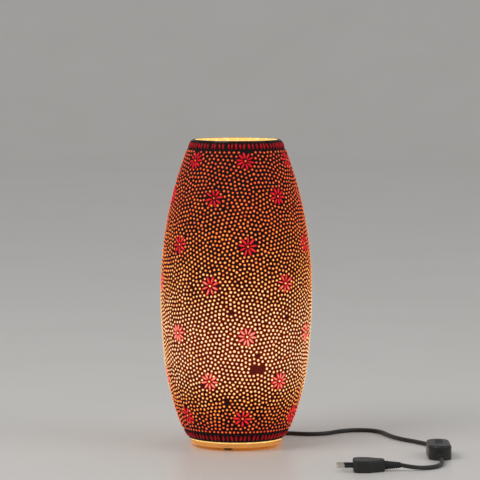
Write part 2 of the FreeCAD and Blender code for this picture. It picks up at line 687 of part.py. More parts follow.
def make_coil():
    low, over = "tie_thickness + 0.1", "tie_thickness + 0.1 + coil_height"
    edge = "1.4"
    coil = turned("cord_coil", [
        ("coil_inner", f"{low} + {edge}"), (f"coil_inner + {edge}", low), (f"coil_spread - {edge}", low),
        ("coil_spread", f"{low} + {edge}"), ("coil_spread", f"{low} + 2 * cord_radius - {edge}"),
        (f"coil_spread - {edge}", f"{low} + 2 * cord_radius"),
        ("coil_outer", f"{low} + 2 * cord_radius + {edge}"),
        ("coil_outer", f"{over} - {edge}"), (f"coil_outer - {edge}", over), (f"coil_inner + {edge}", over),
        ("coil_inner", f"{over} - {edge}")])
    place(coil, "coil_x", "coil_y")
    tie = new_body("coil_tie")
    sketch = new_sketch(tie, "YZ_Plane", lift="-tie_width / 2")
    near, far = "coil_inner - 0.3", "coil_spread + 0.3"
    inside = [(near, "tie_thickness"), (far, "tie_thickness"), (far, "tie_thickness + 2 * cord_radius"),
              ("coil_outer + 0.5", f"{over} + 0.2"), (near, f"{over} + 0.2")]
    outside = [(f"{near} - tie_thickness", "0"), (f"{far} + tie_thickness", "0"),
               (f"{far} + tie_thickness", "tie_thickness + 2 * cord_radius + 0.3"),
               ("coil_outer + 0.5 + tie_thickness", f"{over} + 0.2 + tie_thickness"),
               (f"{near} - tie_thickness", f"{over} + 0.2 + tie_thickness")]
    draw(sketch, outside)
    draw(sketch, inside)
    pad(tie, sketch, "tie_width")
    place(tie, "coil_x", "coil_y")


def along_cord(label, corners, x, y, z, turn):
    """Turned piece whose own upright axis is laid level, in the direction turn counted from +X."""
    piece = turned(label, corners)
    lay_down = Rotation(Z_AXIS, turn) * Rotation(Vector(0, 1, 0), 90)
    piece.Placement = Placement(Vector(x, y, z), lay_down)
    return piece


def make_relief():
    inner, outer = "relief_start", "relief_end"
    bore, plain = "cord_radius + 0.05", "relief_start + 9"
    along_cord("strain_relief", [
        (bore, inner), ("relief_radius", inner), ("relief_radius", plain),
        ("relief_radius - 0.4", f"{plain} + 0.6"),
        ("cord_radius + 0.6", outer), (bore, outer)], 0, 0, value("cord_height"), value("cord_direction"))


# ---- in-line switch --------------------------------------------------------------------


def make_switch():
    middle = {"x": "switch_x", "y": "switch_y"}
    inside_width, inside_length = "switch_width - 2 * switch_wall", "switch_length - 2 * switch_wall"
    base = new_body("switch_base")
    pad(base, draw_stadium(new_sketch(base, "XY_Plane"), "switch_width", "switch_length"), "switch_split")
    soften(base, 1.5, at_height(0))
    hollow = draw_stadium(new_sketch(base, "XY_Plane", lift="switch_split"), inside_width, inside_length)
    cut(base, hollow, "switch_split - switch_wall")
    cord_way = new_sketch(base, "XZ_Plane", lift="-switch_length")
    draw_circle(cord_way, "cord_radius + 0.05", y="switch_cord")
    cut(base, cord_way, "2 * switch_length", backwards=True)
    for sign in ("-", ""):
        hole = new_sketch(base, "XY_Plane")
        draw_circle(hole, "1.6", x=f"{sign}8", y=f"{sign}20")
        cut(base, hole, "switch_wall", backwards=True)
    place(base, **middle)

    cover = new_body("switch_cover")
    sketch = new_sketch(cover, "XY_Plane", lift="switch_split")
    pad(cover, draw_stadium(sketch, "switch_width", "switch_length"), "switch_height - switch_split")
    soften(cover, 3.0, at_height(value("switch_height")))
    sketch = draw_stadium(new_sketch(cover, "XY_Plane", lift="switch_split"), inside_width, inside_length)
    cut(cover, sketch, "switch_height - switch_split - switch_wall", backwards=True)
    well_width, well_length = "(rocker_width + 2 * rocker_gap)", "(rocker_length + 4 * rocker_gap)"
    sketch = new_sketch(cover, "XY_Plane", lift="switch_height - switch_wall - 4.4")
    draw_rectangle(sketch, f"{well_width} + 2 * switch_wall", f"{well_length} + 2 * switch_wall")
    pad(cover, sketch, "4.4")
    sketch = draw_rectangle(new_sketch(cover, "XY_Plane", lift="switch_split"), well_width, well_length)
    cut(cover, sketch, "switch_height", backwards=True)
    sketch = new_sketch(cover, "YZ_Plane", lift=f"-({well_width} / 2 + switch_wall)")
    draw_circle(sketch, "pivot_radius + pivot_clearance", y="pivot_height")
    cut(cover, sketch, f"{well_width} + 2 * switch_wall", backwards=True)
    place(cover, **middle)

    rocker = new_body("switch_rocker")
    half, low = "rocker_length / 2", "-1.3"
    sketch = new_sketch(rocker, "YZ_Plane", lift="-rocker_width / 2")
    draw(sketch, [
        (f"-{half}", low), (half, low), (half, "4.3"), (f"{half} - 0.7", "4.8"), ("0", "3.1"),
        (f"-{half} + 0.7", "4.8"), (f"-{half}", "4.3")])
    pad(rocker, sketch, "rocker_width")
    pins = draw_circle(new_sketch(rocker, "YZ_Plane", lift="-(rocker_width / 2 + 1.5)"), "pivot_radius")
    pad(rocker, pins, "rocker_width + 3")
    place(rocker, z="pivot_height", turn=value("rocker_tilt"), axis=Vector(1, 0, 0), **middle)

    contacts = new_body("switch_contacts")
    for side, low_y in (("3.5", "3"), ("-6.5", "-13")):
        sketch = new_sketch(contacts, "XY_Plane", lift="switch_wall")
        draw(sketch, [(side, low_y), (f"{side} + 3", low_y), (f"{side} + 3", f"{low_y} + 10"),
                      (side, f"{low_y} + 10")])
        pad(contacts, sketch, "5.5")
    place(contacts, **middle)

    screws = new_body("switch_screws")
    for sign in ("-", ""):
        sketch = draw_circle(new_sketch(screws, "XY_Plane", lift="0.2"), "1.5", x=f"{sign}8", y=f"{sign}20")
        pad(screws, sketch, "switch_height - switch_wall - 0.4")
    place(screws, **middle)

    for label, start, turn in (("switch_boot_in", -1, 90), ("switch_boot_out", 1, -90)):
        end_y = value("switch_y") - start * value("switch_length") / 2
        along_cord(label, [
            ("cord_radius + 0.05", "0"), ("4.3", "0"), ("4.3", "2"), ("3.2", "boot_length"),
            ("cord_radius + 0.05", "boot_length")], value("switch_x"), end_y, value("switch_cord"), turn)


# ---- plug ------------------------------------------------------------------------------


def make_plug():
    middle_height = "plug_thickness / 2"
    plug = new_body("plug_body")
    sketch = new_sketch(plug, "XY_Plane")
    half, tail = "plug_width / 2", "plug_tail / 2"
    draw(sketch, [
        ("0", f"-{half} + 4"), ("4", f"-{half}"), ("17", f"-{half}"), ("plug_length", f"-{tail}"),
        ("plug_length", tail), ("17", half), ("4", half), ("0", f"{half} - 4")])
    pad(plug, sketch, "plug_thickness")
    soften(plug, 2.6, lambda edge: at_height(0)(edge) or at_height(value("plug_thickness"))(edge))
    for side in ("-pin_spacing / 2", "pin_spacing / 2"):
        socket = draw_circle(new_sketch(plug, "YZ_Plane"), "pin_core + 0.02", side, middle_height)
        cut(plug, socket, "8", backwards=True)
    place(plug, "plug_x", "plug_y")
    across = {"-": "-pin_spacing / 2", "": "pin_spacing / 2"}
    pins, sleeves = new_body("plug_pins"), new_body("plug_pin_sleeves")
    for side in across.values():
        sketch = new_sketch(pins, "YZ_Plane", lift="-sleeve_length")
        pad(pins, draw_circle(sketch, "pin_core", side, middle_height), "sleeve_length + 7.5")
        sketch = new_sketch(pins, "YZ_Plane", lift="-pin_length")
        pad(pins, draw_circle(sketch, "pin_radius", side, middle_height), "pin_length - sleeve_length")
        sketch = new_sketch(sleeves, "YZ_Plane", lift="-sleeve_length")
        draw_circle(sketch, "pin_sleeve", side, middle_height)
        draw_circle(sketch, "pin_core + 0.02", side, middle_height)
        pad(sleeves, sketch, "sleeve_length")
    tip = -value("pin_length")
    soften(pins, 1.2, lambda edge: all(abs(vertex.X - tip) < 1e-4 for vertex in edge.Vertexes))
    for piece in (pins, sleeves):
        place(piece, "plug_x", "plug_y")
    along_cord("plug_boot", [
        ("0", "0"), ("5.2", "0"), ("5.2", "2.5"), ("3.3", "plug_boot - 0.6"), ("2.8", "plug_boot"),
        ("0", "plug_boot")], value("plug_x + plug_length"), value("plug_y"), value(middle_height), 0)


# ---- build, check and write ------------------------------------------------------------


def check_and_write():
    doc.recompute()
    failed = [item.Name for item in doc.Objects if {"Invalid", "Error"} & set(item.State)]
    for part in exported:
        if part.Shape.isNull() or not part.Shape.isValid() or part.Shape.Volume <= 0:
            failed.append(part.Label)
    if failed:
        raise ValueError("these objects failed: " + ", ".join(failed))
    os.makedirs("parts", exist_ok=True)
    for part in exported:
        part.Shape.exportStep(f"parts/{part.Label}.step")
        box = part.Shape.BoundBox
        print(f"{part.Label:20s} {len(part.Shape.Solids):3d} solids {part.Shape.Volume:10.1f} mm3"
              f"  x {box.XMin:7.1f} {box.XMax:7.1f}  y {box.YMin:7.1f} {box.YMax:7.1f}"
              f"  z {box.ZMin:6.1f} {box.ZMax:6.1f}")
    print(len(exported), "nodes")


make_barrel()
make_border("lower_border", "mosaic_low", "low_border_top", "lower", "low_slip_count")
make_border("upper_border", "high_border_bottom", "mosaic_high", "upper", "high_slip_count")
make_feet()
make_base()
make_column()
make_holder()
make_contacts()
make_bulb()
make_cord()
make_relief()
make_coil()
make_switch()
make_plug()
check_and_write()
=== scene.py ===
import json
import math
import bpy
import numpy
from mathutils import Matrix, Vector
from mathutils.bvhtree import BVHTree
from mathutils.kdtree import KDTree


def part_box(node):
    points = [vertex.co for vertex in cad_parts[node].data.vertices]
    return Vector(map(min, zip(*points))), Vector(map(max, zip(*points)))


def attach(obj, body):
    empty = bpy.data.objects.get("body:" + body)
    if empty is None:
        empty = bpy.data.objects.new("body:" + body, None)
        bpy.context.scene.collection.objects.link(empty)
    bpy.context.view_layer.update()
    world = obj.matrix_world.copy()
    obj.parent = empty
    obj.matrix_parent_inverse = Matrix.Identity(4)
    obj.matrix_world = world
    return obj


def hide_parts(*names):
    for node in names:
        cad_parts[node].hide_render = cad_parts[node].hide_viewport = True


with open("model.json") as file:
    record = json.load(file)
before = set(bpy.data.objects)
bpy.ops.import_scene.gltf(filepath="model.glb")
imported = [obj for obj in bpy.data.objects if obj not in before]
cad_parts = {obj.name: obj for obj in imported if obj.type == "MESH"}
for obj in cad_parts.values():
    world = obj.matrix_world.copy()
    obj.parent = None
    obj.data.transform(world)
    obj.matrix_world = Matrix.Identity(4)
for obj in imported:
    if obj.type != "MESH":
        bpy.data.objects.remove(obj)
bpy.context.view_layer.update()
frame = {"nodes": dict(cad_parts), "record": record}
scene = bpy.context.scene
tau = 2 * math.pi
print("frame loaded")


view = {
    "eye": (0.0044, -3.56, 0.520),
    "target": (0.0044, 0.0, 0.246),
    "lens": 225.0,
}


def addCamera():
    camera = bpy.data.objects.new("camera", bpy.data.cameras.new("camera"))
    camera.data.lens = view["lens"]
    camera.location = view["eye"]
    aim = Vector(view["target"]) - Vector(view["eye"])
    camera.rotation_euler = aim.to_track_quat("-Z", "Y").to_euler()
    scene.collection.objects.link(camera)
    scene.camera = camera
    scene.view_settings.view_transform = "Standard"  # keeps the glowing reds and ambers saturated


addCamera()
print("camera set")


class Wire:  # a node's output that can be used in sums
    def __init__(self, paint, socket):
        self.paint = paint
        self.socket = socket

    def maths(self, operation, *others):
        values = dict(enumerate((self,) + others))
        return self.paint.add("ShaderNodeMath", {"operation": operation}, values)

    def flipped(self, operation, other):
        return self.paint.add("ShaderNodeMath", {"operation": operation}, {0: other, 1: self})

    def __add__(self, other):
        return self.maths("ADD", other)

    def __radd__(self, other):
        return self.flipped("ADD", other)

    def __sub__(self, other):
        return self.maths("SUBTRACT", other)

    def __rsub__(self, other):
        return self.flipped("SUBTRACT", other)

    def __mul__(self, other):
        return self.maths("MULTIPLY", other)

    def __rmul__(self, other):
        return self.flipped("MULTIPLY", other)

    def __truediv__(self, other):
        return self.maths("DIVIDE", other)

    def __rtruediv__(self, other):
        return self.flipped("DIVIDE", other)

    def __pow__(self, other):
        return self.maths("POWER", other)


class Paint:  # one material and the nodes behind its shader
    def __init__(self, name, settings):
        self.material = bpy.data.materials.new(name)
        self.material.use_nodes = True
        self.tree = self.material.node_tree
        self.shader = self.tree.nodes["Principled BSDF"]
        self.set(settings)

    def plug(self, socket, value):
        if isinstance(value, Wire):
            self.tree.links.new(value.socket, socket)
        else:
            socket.default_value = value

    def set(self, settings):
        for name, value in settings.items():
            self.plug(self.shader.inputs[name], value)

    def add(self, kind, settings, values, output=0):
        node = self.tree.nodes.new(kind)
        for name, value in settings.items():
            if name == "stops":
                while len(node.color_ramp.elements) < len(value):
                    node.color_ramp.elements.new(0.5)
                for element, (place, colour) in zip(node.color_ramp.elements, value):
                    element.position = place
                    element.color = colour
            else:
                setattr(node, name, value)
        for name, value in values.items():
            self.plug(node.inputs[name], value)
        return Wire(self, node.outputs[output])

    def place(self):
        return self.add("ShaderNodeTexCoord", {}, {}, "Object")

    def part(self, vector, axis):
        return self.add("ShaderNodeSeparateXYZ", {}, {0: vector}, axis)

    def noise(self, scale, detail=2.0, place=None):
        values = {"Vector": place or self.place(), "Scale": scale, "Detail": detail}
        return self.add("ShaderNodeTexNoise", {}, values, "Fac")

    def cells(self, scale):
        values = {"Vector": self.place(), "Scale": scale}
        return self.add("ShaderNodeTexVoronoi", {}, values, "Distance")

    def step(self, value, start, end):  # rises from 0 to 1 as the value goes from start to end
        return self.add("ShaderNodeMapRange", {}, {0: value, 1: start, 2: end, 3: 0.0, 4: 1.0})

    def ramp(self, factor, stops):
        return self.add("ShaderNodeValToRGB", {"stops": stops}, {0: factor})

    def mix(self, factor, low, high):
        settings = {"data_type": "RGBA"}
        return self.add("ShaderNodeMix", settings, {0: factor, 6: low, 7: high}, 2)

    def bump(self, height, strength, distance):
        values = {"Height": height, "Strength": strength, "Distance": distance}
        self.set({"Normal": self.add("ShaderNodeBump", {}, values)})

    def attribute(self, name):
        return self.add("ShaderNodeAttribute", {"attribute_name": name}, {}, "Fac")


def colour(red, green, blue):  # screen values from 0 to 255, as the shader's linear light
    parts = [value / 255 for value in (red, green, blue)]
    linear = [v / 12.92 if v <= 0.04045 else ((v + 0.055) / 1.055) ** 2.4 for v in parts]
    return (*linear, 1.0)


def dress(paint, *nodes):  # gives CAD nodes a finish
    for name in nodes:
        for materialSlot in frame["nodes"][name].material_slots:
            materialSlot.material = paint.material


def addPiece(name, mesh, body, nodes=()):
    piece = bpy.data.objects.new(name, mesh)
    scene.collection.objects.link(piece)
    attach(piece, body)
    if nodes:
        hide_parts(*nodes)
    return piece


cord = {
    "length": 1.8,
    "diameter": 0.005,
    "exit": (0.0179, 0.0552, 0.0137),  # the notch in the barrel's lower edge
    "lead": [(0.0245, 0.0756, 0.0137), (0.0294, 0.0904, 0.0137), (0.0320, 0.1070, 0.0136)],
    "run": [
        (0.016, 0.0886, 0.0032), (0.052, 0.087, 0.0026), (0.102, 0.070, 0.0025),
        (0.135, 0.112, 0.0025), (0.176, 0.108, 0.0025), (0.190, 0.045, 0.0025),
        (0.222, 0.002, 0.0025), (0.236, -0.028, 0.0028), (0.236, -0.050, 0.0050),
    ],
    "tail": [
        (0.236, -0.138, 0.0050), (0.236, -0.165, 0.0026), (0.226, -0.190, 0.0025),
        (0.203, -0.203, 0.0032), (0.186, -0.203, 0.00685),
    ],
}
coil = {
    "middle": (0.0015, 0.124),
    "turns": [  # radius and height of each turn, the last one three quarters long
        (0.0305, 0.0134), (0.0255, 0.0134), (0.0255, 0.0084), (0.0305, 0.0084),
        (0.0255, 0.0034), (0.0305, 0.0034), (0.0355, 0.0034),
    ],
    "lastPart": 0.75,
    "points": 14,  # to a turn
    "change": 0.22,  # share of a turn over which the cord moves on to the next
    "slack": 1.018,  # the line runs inside its control points
}


def coilPoints():
    turns = coil["turns"]
    count = round((len(turns) - 1 + coil["lastPart"]) * coil["points"])
    for step in range(count + 1):
        place = step / coil["points"]
        turn = min(int(place), len(turns) - 1)
        share = max(0.0, (place - turn - 1 + coil["change"]) / coil["change"])
        following = turns[min(turn + 1, len(turns) - 1)]
        radius, height = [a + (b - a) * share for a, b in zip(turns[turn], following)]
        angle = tau * place
        radius *= coil["slack"]
        x = coil["middle"][0] + radius * math.cos(angle)
        y = coil["middle"][1] + radius * math.sin(angle)
        yield x, y, height


def addCord():
    curve = bpy.data.curves.new("cord", "CURVE")
    curve.dimensions = "3D"
    curve.bevel_depth = 1.0  # the points' radius sets the thickness, which keeps the curve's box right
    curve.bevel_resolution = 4
    curve.resolution_u = 8
    curve.use_fill_caps = True
    route = cord["lead"] + list(coilPoints()) + cord["run"] + cord["tail"]
    spline = curve.splines.new("NURBS")
    spline.points.add(len(route) - 1)
    for point, place in zip(spline.points, route):
        point.co = (*place, 1.0)
        point.radius = cord["diameter"] / 2
    spline.order_u = 3
    spline.use_endpoint_u = True
    spline.use_smooth = True
    solids = ("cord_lead", "cord_coil", "cord_run", "cord_tail")
    return addPiece("cord", curve, "base", solids)


cordPiece = addCord()
print("cord laid")


lowestBead, highestBead = [corner.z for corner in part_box("bead_field")]


def wallProfile():  # the grout's outer face, found by looking in at it from the front
    mesh = frame["nodes"]["grout_skin"].data
    faces = [tuple(face.vertices) for face in mesh.polygons]
    tree = BVHTree.FromPolygons([vertex.co for vertex in mesh.vertices], faces)
    low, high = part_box("grout_skin")
    heights = numpy.linspace(low.z + 0.0002, high.z - 0.0002, 120)
    starts = [Vector((0.0, low.y * 2, height)) for height in heights]
    radii = [-tree.ray_cast(start, Vector((0, 1, 0)))[0].y for start in starts]
    return heights, numpy.array(radii)


wallHeights, wallRadii = wallProfile()


def wallRadius(height):
    return numpy.interp(height, wallHeights, wallRadii)


def wallPoint(turn, height):  # turn is the angle round the barrel, 0 at the front
    radius = wallRadius(height)
    return numpy.stack([radius * numpy.sin(turn), -radius * numpy.cos(turn), height], -1)


def wallOutward(turn, height):  # square to the wall
    reach = 0.004  # the slope is measured over this much to either side
    slope = (wallRadius(height + reach) - wallRadius(height - reach)) / (2 * reach)
    flat = 1 / numpy.sqrt(1 + slope ** 2)
    return numpy.stack([flat * numpy.sin(turn), -flat * numpy.cos(turn), -slope * flat], -1)


def turnOf(points):
    return numpy.arctan2(points[:, 0], -points[:, 1])


def ontoWall(points, low, high):
    return wallPoint(turnOf(points), numpy.clip(points[:, 2], low, high))


mosaic = {
    "seed": 12,
    "pitch": 0.00515,  # from bead to bead
    "bead": 0.00360,
    "rise": 0.00125,
    "beadSpread": 0.07,
    "passes": 34,
    "shake": 0.45,  # how far the first rows are shaken, as a share of the pitch
    "neighbours": 8,  # each bead is pushed by this many
    "freshNeighbours": 3,  # passes before they are looked up again
    "reach": 1.12,  # beads nearer than this share of the pitch push each other
    "push": 0.28,
    "overlap": 0.0009,  # a bead this deep in a flower at the start is left out
    "missing": 0.002,  # share of beads that have dropped out
    "dark": 0.03,  # share of beads of a darker glass
    "darkTint": 0.76,
    "tintSpread": 0.05,
    "sizeSpread": 0.06,
    "sizeLimits": (0.8, 1.15),
    "edge": 0.0024,  # from the field's ends to the nearest beads
    "bands": 4,
    "barePatches": [  # height, turn in degrees and size of each spot that has lost its beads
        (0.1015, 14.4, 0.0043), (0.1015, 17.4, 0.0043), (0.1015, 20.4, 0.0043),
        (0.1145, 17.4, 0.0028), (0.0620, -8.0, 0.0030),
    ],
}
flowers = {
    "rows": [  # height of each row and the turn of its first flower, in degrees
        (0.342, 10.0), (0.300, -19.0), (0.245, 9.5), (0.199, -20.0),
        (0.139, 8.5), (0.086, -22.5), (0.041, 6.0),
    ],
    "around": 6,
    "petals": (8, 10),
    "petalLength": 0.0094,
    "petalWidth": 0.0029,
    "petalRise": 0.0013,
    "petalMiddle": 0.0068,  # from the flower's middle
    "petalTaper": -0.22,
    "clear": 0.0098,  # no bead of the field comes nearer to the flower's middle
    "tipMiddle": 0.0092,
    "tipClear": 0.0040,  # nor nearer than this to the outer part of a petal
    "wander": 0.0008,
    "turnSpread": 0.05,
    "reachSpread": 0.03,
    "lengthSpread": 0.06,
    "widthSpread": 0.09,
    "tintSpread": 0.04,
    "flowerTintSpread": 0.05,
}
borders = {
    "pitches": {"lower_border": 0.00520, "upper_border": 0.00500},
    "length": 0.0086,
    "width": 0.0030,
    "rise": 0.0011,
    "lean": 7.0,
    "turnSpread": 0.08,
    "sizeSpread": 0.08,
    "tintSpread": 0.10,
    "share": 0.92,  # most of the band's height that a slip may take
    "notchTurn": 162.0,  # where the cord comes out of the lower edge
    "notchWidth": 0.0115,
}
chance = numpy.random.default_rng(mosaic["seed"])


def flowerMiddles():
    middles = []
    for height, firstTurn in flowers["rows"]:
        for number in range(flowers["around"]):
            turn = math.radians(firstTurn + 360 / flowers["around"] * number)
            turn += chance.normal() * flowers["wander"] / wallRadius(height)
            middles.append((turn, height + chance.normal() * flowers["wander"]))
    return numpy.array(middles)


def startBeads():  # rows of beads round the barrel, well shaken
    turns, heights = [], []
    rowStep = mosaic["pitch"] * math.sqrt(3) / 2
    height = lowestBead + mosaic["edge"]
    while height < highestBead - mosaic["edge"]:
        radius = wallRadius(height)
        count = round(tau * radius / mosaic["pitch"])
        shake = mosaic["pitch"] * mosaic["shake"]
        turns.extend(tau * numpy.arange(count) / count + chance.normal(size=count) * shake / radius)
        heights.extend(height + chance.normal(size=count) * shake)
        slope = (wallRadius(height + 0.002) - wallRadius(height - 0.002)) / 0.004
        height += rowStep / math.sqrt(1 + slope ** 2)
    return numpy.array(turns), numpy.array(heights)


def nearest(points, count):
    tree = KDTree(len(points))
    for number, point in enumerate(points):
        tree.insert(point, number)
    tree.balance()
    return numpy.array([[hit[1] for hit in tree.find_n(point, count)] for point in points])


def settleBeads(middles, tips):  # beads push each other apart and out of the flowers
    low = lowestBead + mosaic["edge"]
    high = highestBead - mosaic["edge"]
    turns, heights = startBeads()
    points = wallPoint(turns, numpy.clip(heights, low, high))
    centres = numpy.vstack([wallPoint(middles[:, 0], middles[:, 1]), tips])
    clear = numpy.repeat([flowers["clear"], flowers["tipClear"]], [len(middles), len(tips)])
    apart = numpy.linalg.norm(points[:, None] - centres[None], axis=2) - clear
    points = points[apart.min(1) > -mosaic["overlap"]]
    for step in range(mosaic["passes"]):
        if step % mosaic["freshNeighbours"] == 0:
            neighbours = nearest(points, mosaic["neighbours"] + 1)[:, 1:]
        gaps = points[:, None] - points[neighbours]
        lengths = numpy.linalg.norm(gaps, axis=2, keepdims=True) + 1e-9
        push = numpy.clip(mosaic["pitch"] * mosaic["reach"] - lengths, 0, None)
        points = points + (gaps / lengths * push).sum(1) * mosaic["push"]
        away = points[:, None] - centres[None]
        apart = numpy.linalg.norm(away, axis=2)
        which = (apart - clear).argmin(1)
        rows = numpy.arange(len(points))
        short = numpy.clip(clear[which] - apart[rows, which], 0, None)
        points += away[rows, which] / apart[rows, which][:, None] * short[:, None]
        points = ontoWall(points, low, high)
    return points


def dropBeads(points):  # beads that have come off
    kept = chance.random(len(points)) > mosaic["missing"]
    for height, turn, size in mosaic["barePatches"]:
        middle = wallPoint(math.radians(turn), height)
        kept &= numpy.linalg.norm(points - middle, axis=1) > size
    return points[kept]


def spots(points, along, sizes, tints):  # a mesh of bare points that carries how each bit of glass lies
    mesh = bpy.data.meshes.new("spots")
    mesh.from_pydata(points.tolist(), [], [])
    turn, height = turnOf(points), points[:, 2]
    for name, values in (("outward", wallOutward(turn, height)), ("along", along), ("size", sizes)):
        attribute = mesh.attributes.new(name, "FLOAT_VECTOR", "POINT")
        attribute.data.foreach_set("vector", numpy.ascontiguousarray(values, numpy.float32).ravel())
    attribute = mesh.attributes.new("tint", "FLOAT", "POINT")
    attribute.data.foreach_set("value", tints.astype(numpy.float32))
    return mesh


def addTree(name, inputs):
    tree = bpy.data.node_groups.new(name, "GeometryNodeTree")
    tree.interface.new_socket("Geometry", in_out="OUTPUT", socket_type="NodeSocketGeometry")
    for socketName, kind, value in inputs:
        socket = tree.interface.new_socket(socketName, in_out="INPUT", socket_type="NodeSocket" + kind)
        if value is not None:
            socket.default_value = value
    return tree


class Grow:  # builds a Geometry Nodes tree
    def __init__(self, name, inputs):
        self.tree = addTree(name, inputs)
        self.given = self.tree.nodes.new("NodeGroupInput").outputs

    def add(self, kind, settings, values, output=0):
        node = self.tree.nodes.new(kind)
        for name, value in settings.items():
            setattr(node, name, value)
        for name, value in values.items():
            if isinstance(value, bpy.types.NodeSocket):
                self.tree.links.new(value, node.inputs[name])
            else:
                node.inputs[name].default_value = value
        return node.outputs[output]

    def sum(self, operation, *values):
        return self.add("ShaderNodeMath", {"operation": operation}, dict(enumerate(values)))

    def named(self, name, kind):
        return self.add("GeometryNodeInputNamedAttribute", {"data_type": kind}, {"Name": name})

    def finish(self, geometry):
        solid = self.add("GeometryNodeRealizeInstances", {}, {0: geometry})
        smooth = self.add("GeometryNodeSetShadeSmooth", {}, {0: solid})
        values = {0: smooth, "Material": self.given["Material"]}
        painted = self.add("GeometryNodeSetMaterial", {}, values)
        self.tree.links.new(painted, self.tree.nodes.new("NodeGroupOutput").inputs[0])
        return self.tree


def glassBitTree():  # one rounded bit of glass on every spot
    grow = Grow("bits of glass", [
        ("Spots", "Geometry", None), ("Length", "Float", 0.004), ("Width", "Float", 0.004),
        ("Rise", "Float", 0.001), ("Sink", "Float", 0.0005), ("Taper", "Float", 0.0),
        ("Segments", "Int", 9), ("Rings", "Int", 5), ("Spread", "Float", 0.05),
        ("Seed", "Int", 1), ("Material", "Material", None),
    ])
    given = grow.given
    ball = grow.add("GeometryNodeMeshUVSphere", {}, {"Segments": given["Segments"], "Rings": given["Rings"]})
    place = grow.add("GeometryNodeInputPosition", {}, {})
    split = grow.add("ShaderNodeSeparateXYZ", {}, {0: place}, 2).node.outputs
    dome = grow.sum("MAXIMUM", split[2], 0.0)
    values = {0: ball, "Name": "dome", "Value": dome}
    ball = grow.add("GeometryNodeStoreNamedAttribute", {"data_type": "FLOAT"}, values)
    x = grow.sum("MULTIPLY", grow.sum("MULTIPLY", split[0], 0.5), given["Length"])
    narrowing = grow.sum("SUBTRACT", 1.0, grow.sum("MULTIPLY", given["Taper"], split[0]))
    halfWidth = grow.sum("MULTIPLY", grow.sum("MULTIPLY", given["Width"], 0.5), narrowing)
    y = grow.sum("MULTIPLY", split[1], halfWidth)
    above = grow.sum("MULTIPLY", dome, given["Rise"])
    below = grow.sum("MULTIPLY", grow.sum("MINIMUM", split[2], 0.0), given["Sink"])
    shape = grow.add("ShaderNodeCombineXYZ", {}, {0: x, 1: y, 2: grow.sum("ADD", above, below)})
    ball = grow.add("GeometryNodeSetPosition", {}, {0: ball, "Position": shape})
    outward = grow.named("outward", "FLOAT_VECTOR")
    along = grow.named("along", "FLOAT_VECTOR")
    lie = grow.add("FunctionNodeAxesToRotation", {"primary_axis": "Z", "secondary_axis": "X"},
                   {"Primary Axis": outward, "Secondary Axis": along})
    least = grow.sum("SUBTRACT", 1.0, given["Spread"])
    most = grow.sum("ADD", 1.0, given["Spread"])
    values = {2: least, 3: most, "Seed": given["Seed"]}
    change = grow.add("FunctionNodeRandomValue", {"data_type": "FLOAT"}, values, 1)
    size = grow.add("ShaderNodeVectorMath", {"operation": "SCALE"},
                    {0: grow.named("size", "FLOAT_VECTOR"), "Scale": change})
    spread = grow.add("GeometryNodeInstanceOnPoints", {},
                      {"Points": given["Spots"], "Instance": ball, "Rotation": lie, "Scale": size})
    return grow.finish(spread)


def grown(name, source, tree, inputs):  # runs the tree on the source and keeps the plain mesh
    holder = bpy.data.objects.new(name + "Source", source)
    scene.collection.objects.link(holder)
    modifier = holder.modifiers.new("grow", "NODES")
    modifier.node_group = tree
    for item in tree.interface.items_tree:
        if item.in_out == "INPUT" and item.name in inputs:
            modifier[item.identifier] = inputs[item.name]
    ready = holder.evaluated_get(bpy.context.evaluated_depsgraph_get())
    mesh = bpy.data.meshes.new_from_object(ready)
    bpy.data.objects.remove(holder)
    mesh.transform(Matrix.Identity(4))  # measures the mesh's box afresh
    mesh.name = name
    for given in ("outward", "along", "size"):
        if given in mesh.attributes:
            mesh.attributes.remove(mesh.attributes[given])
    return mesh


glow = {
    "beads": [  # height above the table, then how bright the painted bulb light is there, from 0 to 1; low down it dims, as painted shade for the holder's shadow
        (0.010, 0.31), (0.030, 0.44), (0.055, 0.64), (0.080, 0.87), (0.110, 1.00),
        (0.145, 0.97), (0.190, 0.77), (0.245, 0.58), (0.300, 0.47), (0.366, 0.39),
    ],
    "peak": 1.40,
    "highest": 0.40,  # the height that the ramp's far end stands for
    # colours of the painted glow, from unlit to brightest
    "beadGlowColours": [
        (0.00, colour(14, 0, 0)), (0.20, colour(120, 12, 5)), (0.36, colour(222, 62, 20)),
        (0.50, colour(248, 110, 40)), (0.66, colour(255, 162, 62)), (0.80, colour(255, 208, 100)),
        (0.92, colour(255, 240, 156)), (1.00, colour(255, 252, 200)),
    ],
    "petalGlowColours": [
        (0.00, colour(40, 0, 4)), (0.25, colour(130, 2, 14)), (0.45, colour(206, 12, 32)),
        (0.65, colour(230, 36, 42)), (0.86, colour(244, 74, 62)), (1.00, colour(255, 158, 132)),
    ],
    "borderGlowColours": [
        (0.00, colour(20, 0, 2)), (0.30, colour(118, 0, 10)), (0.60, colour(172, 2, 18)),
        (1.00, colour(215, 20, 40)),
    ],
    "strength": 1.0,
}


def paintedBulbLight(paint):  # painted bulb light: how strongly the bulb lights the wall at this height
    height = paint.part(paint.place(), "Z") / glow["highest"]
    stops = [(z / glow["highest"], (paintedGlow, paintedGlow, paintedGlow, 1.0)) for z, paintedGlow in glow["beads"]]
    return paint.ramp(height, stops)


